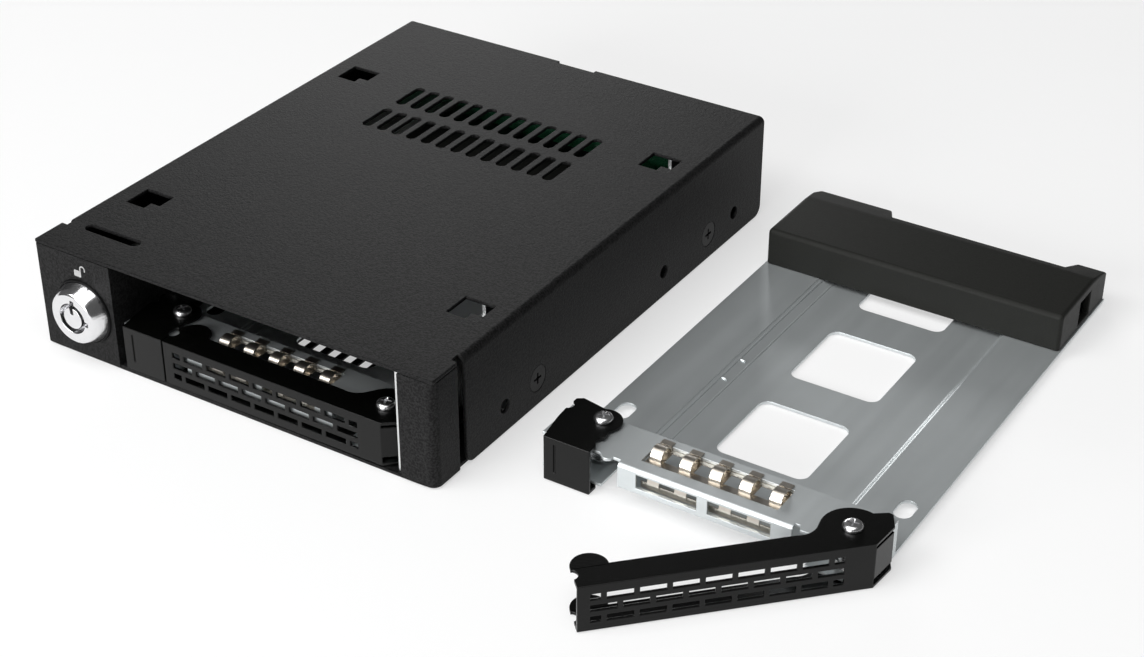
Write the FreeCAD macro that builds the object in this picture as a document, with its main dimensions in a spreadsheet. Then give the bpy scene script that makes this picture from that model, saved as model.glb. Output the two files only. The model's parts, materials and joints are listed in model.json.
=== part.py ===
import FreeCAD, Part
import math
import os
import re

import Sketcher
from FreeCAD import Placement, Rotation, Vector

# Two-bay drive cage for one 3.5-inch bay, with two removable trays for 2.5-inch drives.
# X runs across the front, Y runs from front to rear and Z is up.  The origin is the centre of
# the cage's bottom face.  The lower tray is home in the cage; the spare tray lies beside it on
# the same surface with its lever open.  All sizes are millimetres and degrees.

SIZES = {
    # cage sheet metal
    "cage_width": 101.6, "cage_depth": 132.4, "cage_height": 25.4, "gauge": 0.8,
    "bend": 1.5, "return_depth": 8.2, "slit_end": 10.5, "relief": 1.6, "lower_corner": 2.5,
    "bay_left": -30.6, "bay_right": 42.3, "wall_depth": 27.5, "pillar_round": 2.0,
    # top cover openings
    "front_slot_left": -45.2, "front_slot_right": -30.7, "front_slot_y": 9.7, "front_slot_r": 1.25,
    "tab_x": 41.9, "tab_side": 7.2, "tab_front_y": 22.3, "tab_rear_y": 96.3, "tongue_width": 3.4,
    "vent_pitch": 4.1, "vent_r": 1.2, "vent_length": 9.6, "vent_front_y": 84.0, "vent_rear_y": 97.0,
    "vent_base_y": 30.5,
    "rear_notch": 10.2, "rear_notch_x": -0.5, "rear_notch_depth": 1.0,
    # screws and mounting holes of the cage
    "side_hole_z": 6.35, "side_hole_front": 24.0, "side_hole_middle": 87.0, "side_hole_rear": 119.0,
    "mount_hole_r": 1.5, "cover_screw_front": 36.0, "cover_screw_rear": 107.0, "cover_screw_r": 2.9,
    "base_hole_x": 47.625, "base_hole_front": 46.7, "base_hole_rear": 91.15, "flange_height": 23.4,
    # lock
    "lock_x": -39.0, "lock_z": 11.5, "lock_out": 3.7, "lock_face_r": 5.9, "lock_base_r": 7.0,
    "lock_collar_r": 7.5, "lock_body_r": 5.6, "lock_body_end": 15.4, "plug_r": 3.4, "post_r": 2.45,
    "running": 0.05, "slot_floor": 0.6, "nut_flats": 13.0, "nut_thick": 2.4, "cam_start": 16.2,
    "cam_thick": 1.5, "cam_reach": 7.8, "cam_half": 2.6,
    # rails, board and connectors
    "rail_gauge": 1.0, "rail_end": 122.4, "rail_flange": 5.4, "ledge": 1.4, "ledge_start": 17.0,
    "ledge_end": 118.0, "board_y": 123.2, "board_thick": 1.6, "board_half": 47.0,
    "board_low": 3.2, "board_high": 22.2, "plug_width": 40.0, "plug_height": 4.6, "plug_front": 117.0,
    "plug_x": 6.4, "port_width": 16.8, "port_height": 8.4, "power_width": 22.4, "port_end": 131.4,
    # where the trays are
    "tray_x": 5.2, "tray_z": 1.1, "tray_pitch": 11.7, "spare_x": 99.65, "spare_y": 14.8,
    # tray pan and its front band
    "pan_half": 35.5, "pan_gauge": 0.7, "pan_raise": 1.0, "pan_end": 121.4, "band_top": 9.2,
    "band_front": 2.4, "band_rear": 13.5, "web_front": 1.0, "web_left": -17.6, "web_right": 19.9,
    "web_foot": 3.3, "step_y": 10.4, "channel_left": -19.0, "ramp_left": -22.1,
    "channel_right": 21.9, "ramp_right": 22.9, "cut_left": -10.1, "cut_right": 10.3,
    "cut_length": 21.2, "cut_front": 25.6, "cut_middle": 57.6, "cut_rear": 90.0, "cut_corner": 2.2,
    "drive_hole_x": 31.4, "drive_hole_y": 26.6, "drive_hole_r": 1.85, "window_low": 4.9,
    "window_high": 8.0, "strip_gauge": 0.25, "finger_x": -12.4, "finger_pitch": 6.48,
    "finger_width": 2.5, "finger_y": 8.6, "finger_r": 2.2, "clip_width": 2.6,
    # rear cap of the tray
    "cap_front": 95.0, "cap_rear": 116.3, "cap_top": 10.5, "cap_wall": 1.6, "horn_end": 121.4,
    "horn_top": 8.9, "horn_left": -17.3, "horn_right": 29.2, "slope_start": 113.5,
    "cap_inset": 0.3, "stud_r": 2.0, "stud_y": 102.0,
    # lever and latch
    "lever_x": 29.9, "lever_y": 5.6, "lever_left": -52.9, "lever_height": 10.2, "grip": 0.7,
    "lobe_r": 6.2, "lever_open": 45.4, "lug_low": 2.0, "lug_high": 9.0, "vent_bar": 1.05,
    "vent_slot": 5.0, "vent_short": 2.0, "vent_high": 1.3, "vent_row": 2.5, "vent_inset": 2.4,
    "latch_x": -26.8, "latch_y": 10.9, "latch_left": -33.8, "latch_right": -23.35,
    "latch_round": 3.9, "spring_wire": 0.5,
    # pivots of the lever and the latch
    "eye_r": 1.25, "shank_r": 1.2, "screw_head_r": 2.0, "screw_head": 1.1, "shoulder_r": 1.5,
    "post_outer_r": 2.6, "post_bore_r": 1.25,
    # cross recesses, and the screws that hold the board
    "cross_reach": 1.1, "cross_half": 0.22, "cross_deep": 0.6, "cover_cross": 1.3,
    "cover_cross_half": 0.25, "board_screw_in": 2.4, "board_screw_drop": 3.0,
    "board_screw_r": 1.2, "board_hole_r": 1.25, "board_head_r": 2.3,
}

doc = FreeCAD.newDocument("drive_cage")
dims = doc.addObject("Spreadsheet::Sheet", "dims")
for line, (alias, size) in enumerate(SIZES.items(), start=1):
    dims.set("A%d" % line, alias)
    dims.set("B%d" % line, str(size))
    dims.setAlias("B%d" % line, alias)
doc.recompute()


def linked(formula):
    """The formula with each sheet alias written as dims.alias, ready for setExpression."""
    return re.sub(r"[a-z]\w*", lambda word: "dims." + word.group() if word.group() in SIZES
                  else word.group(), str(formula))


def size(formula):
    """The value of a formula of sheet aliases."""
    return float(dims.evalExpression(linked(formula)))


def rectangle(left, low, right, high):
    return [(left, low), (right, low), (right, high), (left, high)]


def arc_between(first, last, radius):
    """Arc from first to last; a positive radius has its centre to the left of the way travelled."""
    chord = last - first
    left = Vector(-chord.y, chord.x, 0).normalize()
    rise = math.sqrt(max(radius ** 2 - (chord.Length / 2) ** 2, 0))
    centre = (first + last) / 2 + left * math.copysign(rise, radius)
    start, end = (first, last) if radius > 0 else (last, first)
    angles = [math.atan2(point.y - centre.y, point.x - centre.x) for point in (start, end)]
    circle = Part.Circle(centre, Vector(0, 0, 1), abs(radius))
    return Part.ArcOfCircle(circle, angles[0], angles[1])


class Piece:
    """One sub-part: a PartDesign body whose sketches and features are bound to the sheet."""

    PLANES = {"top": "XY_Plane", "front": "XZ_Plane", "side": "YZ_Plane"}
    made = []

    def __init__(self, node):
        self.body = doc.addObject("PartDesign::Body", node)
        self.body.Label = node
        self.node = node
        self.count = 0
        Piece.made.append(self)

    def name(self, kind):
        self.count += 1
        return "%s_%s_%d" % (self.node, kind, self.count)

    def origin(self, role):
        return [item for item in self.body.Origin.OriginFeatures if item.Role == role][0]

    def bind(self, sketch, kind, formula, *places):
        index = sketch.addConstraint(Sketcher.Constraint(kind, *places, size(formula)))
        sketch.setExpression("Constraints[%d]" % index, linked(formula))

    def draw(self, sketch, loop):
        """A closed outline of (x, y) points; a third item is the radius of the arc that follows."""
        points = [Vector(size(point[0]), size(point[1]), 0) for point in loop]
        first = sketch.GeometryCount
        ends = []
        for index, point in enumerate(points):
            after = points[(index + 1) % len(points)]
            if len(loop[index]) == 3:
                radius = size(loop[index][2])
                sketch.addGeometry(arc_between(point, after, radius), False)
                ends.append((1, 2) if radius > 0 else (2, 1))
            else:
                sketch.addGeometry(Part.LineSegment(point, after), False)
                ends.append((1, 2))
        total = len(points)
        for index, point in enumerate(loop):
            here, after = first + index, first + (index + 1) % total
            start, end = ends[index]
            sketch.addConstraint(Sketcher.Constraint("Coincident", here, end, after,
                                                     ends[(index + 1) % total][0]))
            self.bind(sketch, "DistanceX", point[0], -1, 1, here, start)
            self.bind(sketch, "DistanceY", point[1], -1, 1, here, start)
            if len(point) == 3:
                self.hold_arc(sketch, here, point, loop[(index + 1) % total])

    def hold_arc(self, sketch, index, first, last):
        """Fix an arc by its radius, or a half circle by a centre midway between its ends."""
        run, rise = (size("%s - (%s)" % (last[axis], first[axis])) for axis in (0, 1))
        if math.hypot(run, rise) < 1.999 * abs(size(first[2])):
            self.bind(sketch, "Radius", "abs(%s)" % first[2], index)
        elif abs(run) > abs(rise):
            self.bind(sketch, "DistanceY", "(%s + (%s))/2" % (first[1], last[1]), -1, 1, index, 3)
        else:
            self.bind(sketch, "DistanceX", "(%s + (%s))/2" % (first[0], last[0]), -1, 1, index, 3)

    def ring(self, sketch, x, y, radius):
        circle = Part.Circle(Vector(size(x), size(y), 0), Vector(0, 0, 1), size(radius))
        index = sketch.addGeometry(circle, False)
        self.bind(sketch, "DistanceX", x, -1, 1, index, 3)
        self.bind(sketch, "DistanceY", y, -1, 1, index, 3)
        self.bind(sketch, "Radius", radius, index)

    def sketch(self, plane, level, loops):
        """A sketch parallel to an origin plane at a level along X, Y or Z."""
        sketch = self.body.newObject("Sketcher::SketchObject", self.name("sketch"))
        sketch.AttachmentSupport = [(self.origin(self.PLANES[plane]), "")]
        sketch.MapMode = "FlatFace"
        sign = "-1" if plane == "front" else "1"
        sketch.setExpression("AttachmentOffset.Base.z", linked("%s * (%s)" % (sign, level)))
        for loop in loops:
            if isinstance(loop, list):
                self.draw(sketch, loop)
            else:
                self.ring(sketch, *loop)
        return sketch

    def feature(self, kind, plane, start, end, loops, forward):
        sketch = self.sketch(plane, start, loops)
        feature = self.body.newObject("PartDesign::" + kind, self.name(kind.lower()))
        feature.Profile = sketch
        feature.Type = "Length"
        feature.setExpression("Length", linked("(%s) - (%s)" % (end, start)))
        feature.Reversed = forward
        before = self.body.Shape.Volume if self.body.Shape.Solids else 0
        doc.recompute()
        change = self.body.Shape.Volume - before
        if (change > 0) != (kind == "Pad") or abs(change) < 1e-6:
            raise RuntimeError("%s changes the volume by %g" % (feature.Name, change))
        return feature

    def pad(self, plane, start, end, *loops):
        return self.feature("Pad", plane, start, end, loops, plane == "front")

    def cut(self, plane, start, end, *loops):
        return self.feature("Pocket", plane, start, end, loops, plane != "front")

    def spin(self, kind, loop, centre=("0", "0")):
        """A closed (radius, height) outline turned about a Z axis (Revolution or Groove)."""
        sketch = self.body.newObject("Sketcher::SketchObject", self.name("sketch"))
        sketch.AttachmentSupport = [(self.origin("XZ_Plane"), "")]
        sketch.MapMode = "FlatFace"
        sketch.setExpression("AttachmentOffset.Base.x", linked(centre[0]))
        sketch.setExpression("AttachmentOffset.Base.z", linked("-(%s)" % centre[1]))
        self.draw(sketch, loop)
        feature = self.body.newObject("PartDesign::" + kind, self.name(kind.lower()))
        feature.Profile = sketch
        feature.ReferenceAxis = (sketch, ["V_Axis"])
        feature.Angle = 360
        doc.recompute()
        return feature

    def repeat(self, feature, axis, length, count):
        """Copies of a feature evenly spaced along X_Axis, Y_Axis or Z_Axis."""
        pattern = self.body.newObject("PartDesign::LinearPattern", self.name("pattern"))
        pattern.Originals = feature if isinstance(feature, list) else [feature]
        pattern.Direction = (self.origin(axis), [""])
        pattern.setExpression("Length", linked(length))
        pattern.Occurrences = count
        self.body.Tip = pattern
        doc.recompute()
        return pattern

    def mirror(self, *features):
        """The features again on the other side of the YZ plane."""
        copy = self.body.newObject("PartDesign::Mirrored", self.name("mirror"))
        copy.Originals = list(features)
        copy.MirrorPlane = (self.origin("YZ_Plane"), [""])
        self.body.Tip = copy
        doc.recompute()
        return copy

    def soften(self, radius, wanted, kind="Fillet"):
        """Round (or Chamfer) every edge of the tip that the test picks."""
        tip = self.body.Tip
        edges = ["Edge%d" % (index + 1) for index, edge in enumerate(tip.Shape.Edges)
                 if wanted(edge)]
        if not edges:
            raise RuntimeError("no edge to soften on " + self.node)
        feature = self.body.newObject("PartDesign::" + kind, self.name(kind.lower()))
        feature.Base = (tip, edges)
        feature.setExpression("Radius" if kind == "Fillet" else "Size", linked(radius))
        doc.recompute()
        return feature

    def place(self, x, y, z, turn="0"):
        self.body.Placement = Placement(Vector(0, 0, 0), Rotation(Vector(0, 0, 1), size(turn)))
        for axis, formula in zip("xyz", (x, y, z)):
            self.body.setExpression("Placement.Base." + axis, linked(formula))
        return self


def slot(x, y, radius, length, along="x"):
    """An obround outline centred on (x, y), length overall, running along x or y."""
    half = "(%s)/2 - (%s)" % (length, radius)
    if along == "x":
        return [("%s - (%s)" % (x, half), "%s - (%s)" % (y, radius)),
                ("%s + (%s)" % (x, half), "%s - (%s)" % (y, radius), radius),
                ("%s + (%s)" % (x, half), "%s + (%s)" % (y, radius)),
                ("%s - (%s)" % (x, half), "%s + (%s)" % (y, radius), radius)]
    return [("%s + (%s)" % (x, radius), "%s - (%s)" % (y, half)),
            ("%s + (%s)" % (x, radius), "%s + (%s)" % (y, half), radius),
            ("%s - (%s)" % (x, radius), "%s + (%s)" % (y, half)),
            ("%s - (%s)" % (x, radius), "%s - (%s)" % (y, half), radius)]


def vent(x, y, radius, length):
    """A slot along y with its ends drawn as three straight flats."""
    flat = "0.45*(%s)" % radius
    side, tip = "(%s)/2 - 0.6*(%s)" % (length, radius), "(%s)/2" % length
    right = [("%s + %s" % (x, radius), "%s - (%s)" % (y, side)),
             ("%s + %s" % (x, radius), "%s + %s" % (y, side)),
             ("%s + %s" % (x, flat), "%s + %s" % (y, tip))]
    left = [("%s - %s" % (x, flat), "%s + %s" % (y, tip)),
            ("%s - %s" % (x, radius), "%s + %s" % (y, side)),
            ("%s - %s" % (x, radius), "%s - (%s)" % (y, side))]
    return right + left + [("%s - %s" % (x, flat), "%s - %s" % (y, tip)),
                           ("%s + %s" % (x, flat), "%s - %s" % (y, tip))]


def rounded(left, low, right, high, radius):
    """A rectangle with rounded corners."""
    return [("%s + %s" % (left, radius), low), ("%s - %s" % (right, radius), low, radius),
            (right, "%s + %s" % (low, radius)), (right, "%s - %s" % (high, radius), radius),
            ("%s - %s" % (right, radius), high), ("%s + %s" % (left, radius), high, radius),
            (left, "%s - %s" % (high, radius)), (left, "%s + %s" % (low, radius), radius)]


def upright(edge, x=None, y=None, z=None, axis="z", near=0.01):
    """Whether a straight edge runs along the axis through the given coordinates."""
    if edge.Curve.TypeId != "Part::GeomLine":
        return False
    if abs(abs(getattr(edge.tangentAt(edge.FirstParameter), axis)) - 1) > 1e-6:
        return False
    middle = edge.CenterOfMass
    wanted = {"x": x, "y": y, "z": z}
    return all(value is None or abs(getattr(middle, name) - value) < near
               for name, value in wanted.items())


# ---- the cage ---------------------------------------------------------------------------------

def home(piece):
    """Stand a cage piece, drawn with y from the front face, about the cage's middle."""
    return piece.place("0", "-cage_depth/2", "0")


def make_top_cover():
    cover = Piece("top_cover")
    half, inner, top = "cage_width/2", "cage_width/2 - gauge", "cage_height"
    under = "cage_height - gauge"
    cover.pad("front", "slit_end", "cage_depth",
              [("-cage_width/2", "0"), ("gauge - cage_width/2", "0"),
               ("gauge - cage_width/2", under), (inner, under), (inner, "0"), (half, "0"),
               (half, top), ("-cage_width/2", top)])
    cover.soften("bend", lambda edge: upright(edge, z=size(top), axis="y")
                 and abs(edge.CenterOfMass.x) > 50)
    cover.soften("bend - gauge", lambda edge: upright(edge, z=size(under), axis="y"))
    cover.soften("lower_corner", lambda edge: upright(edge, z=0, axis="x"))
    edge = "cage_width/2 - relief"
    cover.pad("top", under, top,
              [("-cage_width/2", "0"), (half, "0"), (half, "return_depth"),
               (edge, "return_depth"), (edge, "slit_end"), ("-(%s)" % edge, "slit_end"),
               ("-(%s)" % edge, "return_depth"), ("-cage_width/2", "return_depth")])
    cover.cut("top", under, top, slot("(front_slot_left + front_slot_right)/2", "front_slot_y",
                                      "front_slot_r", "front_slot_right - front_slot_left"))
    for y in ("vent_front_y", "vent_rear_y"):
        row = cover.cut("top", under, top, vent("-6*vent_pitch", y, "vent_r", "vent_length"))
        cover.repeat(row, "X_Axis", "12*vent_pitch", 13)
    for y in ("tab_front_y", "tab_rear_y"):
        for side in ("tab_x", "-tab_x"):
            left = "%s - tab_side/2" % side
            cover.cut("top", under, top, rectangle(left, y, "%s + tab_side" % left,
                                                   "%s + tab_side - 0.4" % y))
            cover.pad("top", "cage_height - 2*gauge", under,
                      rectangle("%s + tab_side - tongue_width" % left, "%s - 1" % y,
                                "%s + tab_side + 1" % left, "%s + tongue_width" % y))
    cover.cut("top", under, top,
              rectangle("rear_notch_x - rear_notch/2", "cage_depth - rear_notch_depth",
                        "rear_notch_x + rear_notch/2", "cage_depth + 1"))
    holes = [(y, "side_hole_z", "mount_hole_r")
             for y in ("side_hole_front", "side_hole_middle", "side_hole_rear")]
    screws = [(y, "side_hole_z", "cover_screw_r + running")
              for y in ("cover_screw_front", "cover_screw_rear")]
    cover.mirror(cover.cut("side", inner, half, *(holes + screws)))
    return home(cover)


def make_base_chassis():
    base = Piece("base_chassis")
    edge, inner = "cage_width/2 - gauge", "cage_width/2 - 2*gauge"
    face_top = "cage_height - gauge - 0.1"
    base.pad("top", "0", "gauge", rectangle("-(%s)" % edge, "gauge", edge, "cage_depth - 0.8"))
    base.mirror(base.pad("side", inner, edge, rectangle("slit_end + 1.5", "gauge/2",
                                                        "cage_depth - 0.8", "flange_height")))
    # lock face with its outer return and the wall between the lock and the bay
    base.pad("front", "0", "gauge", rectangle("-cage_width/2", "0.2", "bay_left", face_top))
    base.pad("side", "-cage_width/2", "gauge - cage_width/2",
             rectangle("gauge/2", "0.2", "return_depth", face_top))
    base.pad("side", "bay_left - gauge", "bay_left",
             rectangle("gauge/2", "gauge/2", "wall_depth", face_top))
    # pillar at the other side of the bay
    base.pad("front", "0", "gauge", rectangle("bay_right", "0.2", "cage_width/2", face_top))
    base.pad("side", edge, "cage_width/2", rectangle("gauge/2", "0.2", "return_depth", face_top))
    base.soften("pillar_round", lambda line: upright(line, x=size("cage_width/2"), y=0))
    base.soften("gauge/2", lambda line: upright(line, x=-size("cage_width/2"), y=0))
    # low lip across the bay
    base.pad("front", "0.2", "gauge + 0.2", rectangle("bay_left - gauge/2", "0", "bay_right + 0.4",
                                                "gauge"))
    # rear wall with openings for the sockets and its air slots
    base.pad("front", "cage_depth - 1.6", "cage_depth - 0.8",
             rectangle("-(%s)" % edge, "gauge/2", edge, "flange_height"))
    base.cut("front", "cage_depth - 1.6", "cage_depth - 0.8",
             rectangle("-40", "3.4", "41", "20.6"))
    # holes: room behind the side threads, screws of the cover, bottom threads, lock and its cam's slot
    sides = [rectangle("%s - 3" % y, "side_hole_z - 3", "%s + 3" % y, "side_hole_z + 3")
             for y in ("side_hole_front", "side_hole_middle", "side_hole_rear")]
    sides += [(y, "side_hole_z", "mount_hole_r - 0.1") for y in ("cover_screw_front",
                                                                "cover_screw_rear")]
    base.mirror(base.cut("side", inner, edge, *sides))
    base.cut("top", "0", "gauge", *[(x, y, "mount_hole_r") for x in ("base_hole_x", "-base_hole_x")
                                    for y in ("base_hole_front", "base_hole_rear")])
    base.cut("front", "0", "gauge", ("lock_x", "lock_z", "lock_body_r"))
    base.cut("side", "bay_left - gauge", "bay_left",
             rectangle("cam_start - 0.5", "lock_z - cam_half - 0.5",
                       "cam_start + cam_thick + 0.5", "lock_z + cam_half + 0.5"))
    row = base.cut("top", "0", "gauge",
                   vent("-6*vent_pitch", "vent_base_y", "vent_r", "vent_length"))
    base.repeat(row, "X_Axis", "12*vent_pitch", 13)
    return home(base)


def make_rail(node, web_left, web_right, outward, start, windows):
    """A zinc-plated channel: web along the bay, flanges outward, ledges under the trays."""
    rail = Piece(node)
    low, high = "gauge", "cage_height - gauge"
    rail.pad("side", web_left, web_right, rectangle(start, low, "rail_end", high))
    outer = web_right if outward > 0 else web_left
    tip = "%s + %d*rail_flange" % (outer, outward)
    span = (outer, tip) if outward > 0 else (tip, outer)
    # the top flange stops short of the cover's tongues
    for z, first, last in ((low, "wall_depth + 1", "rail_end"),
                           ("%s - rail_gauge" % high, "wall_depth + 4", "tab_rear_y - 2")):
        rail.pad("top", z, "%s + rail_gauge" % z, rectangle(span[0], first, span[1], last))
    rail.pad("front", "rail_end", "rail_end + gauge",
             rectangle(web_left if outward > 0 else tip, "board_low", tip if outward > 0 else
                       web_right, "board_high"))
    rail.cut("front", "rail_end", "rail_end + gauge",
             ("%s - %d*board_screw_in" % (tip, outward), "board_high - board_screw_drop",
              "board_hole_r"))
    # the web is lower beside the openings of the cover
    rail.cut("side", web_left, web_right,
             *[rectangle("%s - 1" % y, "%s - 3" % high, "%s + tab_side + 1" % y, "%s + 1" % high)
               for y in ("tab_front_y", "tab_rear_y")])
    inner = web_left if outward > 0 else web_right
    reach = "%s - %d*ledge" % (inner, outward)
    for level in ("tray_z", "tray_z + tray_pitch"):
        rail.pad("top", level, "%s + pan_gauge" % level,
                 rectangle(reach if outward > 0 else inner, "ledge_start",
                           inner if outward > 0 else reach, "ledge_end"))
    if windows:
        rail.cut("side", web_left, web_right,
                 *[rectangle("1.4", "%s - 0.2" % level, "14", "%s + 10.6" % level)
                   for level in ("tray_z", "tray_z + tray_pitch")])
    return home(rail)


def make_lock():
    """The lock body and its turning plug, both drawn along Z and laid along the cage's depth."""
    out, face = "-lock_out", "lock_face_r"
    body = Piece("lock_housing")
    bore = "plug_r + running"
    body.spin("Revolution", [(bore, out), ("%s - 0.5" % face, out), (face, "0.4 - lock_out"),
                             ("lock_base_r", "-0.4"), ("lock_base_r", "0"), ("lock_body_r", "0"),
                             ("lock_body_r", "lock_body_end"), (bore, "lock_body_end")])
    body.cut("top", out, "slot_floor - 1",
             rectangle("-0.5", "-plug_r - 0.9", "0.5", "-plug_r + 0.5"),
             rectangle("plug_r - 0.5", "-0.5", "plug_r + 0.9", "0.5"))
    collar = Piece("lock_collar")
    collar.spin("Revolution", [("lock_base_r + running", "-0.5"), ("lock_collar_r - 0.2", "-0.5"),
                               ("lock_collar_r", "0"), ("lock_base_r + running", "0")])
    core = Piece("lock_core")
    core.spin("Revolution", [("0", "0.15 - lock_out"), ("post_r", "0.15 - lock_out"),
                             ("post_r", "slot_floor"), ("plug_r", "slot_floor"),
                             ("plug_r", "cam_start"), ("1.6", "cam_start"),
                             ("1.6", "cam_start + cam_thick"), ("0", "cam_start + cam_thick")])
    core.cut("top", "0.15 - lock_out", "slot_floor", rectangle("0.9", "-0.45", "2.6", "0.45"))
    nut = Piece("lock_nut")
    corner = "nut_flats/2/cos(30 deg)"
    hexagon = [("%s*cos(%d deg)" % (corner, 60 * turn), "%s*sin(%d deg)" % (corner, 60 * turn))
               for turn in range(6)]
    nut.pad("top", "gauge", "gauge + nut_thick", hexagon, ("0", "0", "lock_body_r + running"))
    cam = Piece("lock_cam")
    cam.pad("top", "cam_start", "cam_start + cam_thick",
            [("cam_half", "0"), ("cam_half", "cam_reach - cam_half", "cam_half"),
             ("-cam_half", "cam_reach - cam_half"), ("-cam_half", "0", "cam_half")],
            ("0", "0", "1.65"))
    screw = Piece("cam_screw")
    screw.pad("top", "cam_start + cam_thick", "cam_start + cam_thick + 1.2", ("0", "0", "2.4"))
    for piece in (body, collar, core, nut, cam, screw):
        piece.place("lock_x", "-cage_depth/2", "lock_z")
        # local Z lies along the cage's depth, local Y points up
        piece.body.Placement.Rotation = Rotation(Vector(1, 0, 0), -90) * Rotation(Vector(0, 0, 1), 180)


def board_screw_spots():
    """Where the board is screwed to the ears of the two rails."""
    left = "bay_left - gauge - rail_flange + board_screw_in"
    right = "bay_right - 0.2 + rail_flange - board_screw_in"
    return [(x, "board_high - board_screw_drop") for x in (left, right)]


def make_board():
    board = Piece("backplane_board")
    board.pad("front", "board_y", "board_y + board_thick",
              rectangle("-board_half", "board_low", "board_half", "board_high"))
    board.cut("front", "board_y", "board_y + board_thick",
              *[(x, z, "board_hole_r") for x, z in board_screw_spots()])
    home(board)
    for node, level in (("drive_socket_lower", "tray_z"), ("drive_socket_upper", "tray_z + tray_pitch")):
        socket = Piece(node)
        middle = "tray_x + plug_x"
        low = "%s + 2.9" % level
        left, right = "%s - plug_width/2" % middle, "%s + plug_width/2" % middle
        socket.pad("front", "plug_front + 2", "board_y", rectangle(left, low, right, "%s + plug_height" % low))
        socket.pad("front", "plug_front", "plug_front + 2",
                   rectangle("%s + 1" % left, "%s + 0.5" % low, "%s - 1" % right,
                             "%s + plug_height - 0.5" % low))
        socket.cut("front", "plug_front", "plug_front + 4",
                   rectangle("%s + 3" % left, "%s + 1.5" % low, "%s + 13" % left, "%s + 2.9" % low),
                   rectangle("%s + 16" % left, "%s + 1.5" % low, "%s - 3" % right, "%s + 2.9" % low))
        home(socket)
    back = "board_y + board_thick"
    for node, x, width in (("data_port_1", "-24", "port_width"), ("data_port_2", "-2", "port_width"),
                           ("power_port", "24", "power_width")):
        port = Piece(node)
        port.pad("front", back, "port_end",
                 rectangle("%s - %s/2" % (x, width), "8", "%s + %s/2" % (x, width), "8 + port_height"))
        port.cut("front", "%s + 1.4" % back, "port_end",
                 rectangle("%s - %s/2 + 1" % (x, width), "9", "%s + %s/2 - 1" % (x, width),
                           "7 + port_height"))
        port.pad("front", "%s + 1" % back, "port_end - 1",
                 rectangle("%s - %s/2 + 3" % (x, width), "11.6", "%s + %s/2 - 3" % (x, width), "12.8"))
        home(port)


def cross_bars(spots, reach, half):
    """The two bars of a cross recess at every spot: all the level bars, then all the upright ones."""
    return [[rectangle("%s - %s" % (x, wide), "%s - %s" % (y, tall), "%s + %s" % (x, wide),
                       "%s + %s" % (y, tall)) for x, y in spots]
            for wide, tall in ((reach, half), (half, reach))]


def make_screws():
    """The screws of the board and of the cover, each group in one piece."""
    group = Piece("backplane_screws")
    group.body.AllowCompound = True
    spots, back = board_screw_spots(), "board_y + board_thick"
    group.pad("front", "%s - 2.6" % back, back, *[(x, z, "board_screw_r") for x, z in spots])
    group.pad("front", back, "%s + 1.2" % back, *[(x, z, "board_head_r") for x, z in spots])
    home(group)
    group = Piece("cover_screws")
    group.body.AllowCompound = True
    spots = [(y, "side_hole_z") for y in ("cover_screw_front", "cover_screw_rear")]
    inner, outer = "cage_width/2 - gauge", "cage_width/2"
    shank = group.pad("side", "%s - 2" % inner, inner, *[(y, z, "1.35") for y, z in spots])
    head = group.pad("side", inner, "%s - 0.05" % outer, *[(y, z, "cover_screw_r") for y, z in spots])
    bars = [group.cut("side", "%s - cross_deep" % outer, outer, *loops)
            for loops in cross_bars(spots, "cover_cross", "cover_cross_half")]
    group.mirror(shank, head, *bars)
    home(group)


# ---- the trays --------------------------------------------------------------------------------

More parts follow.
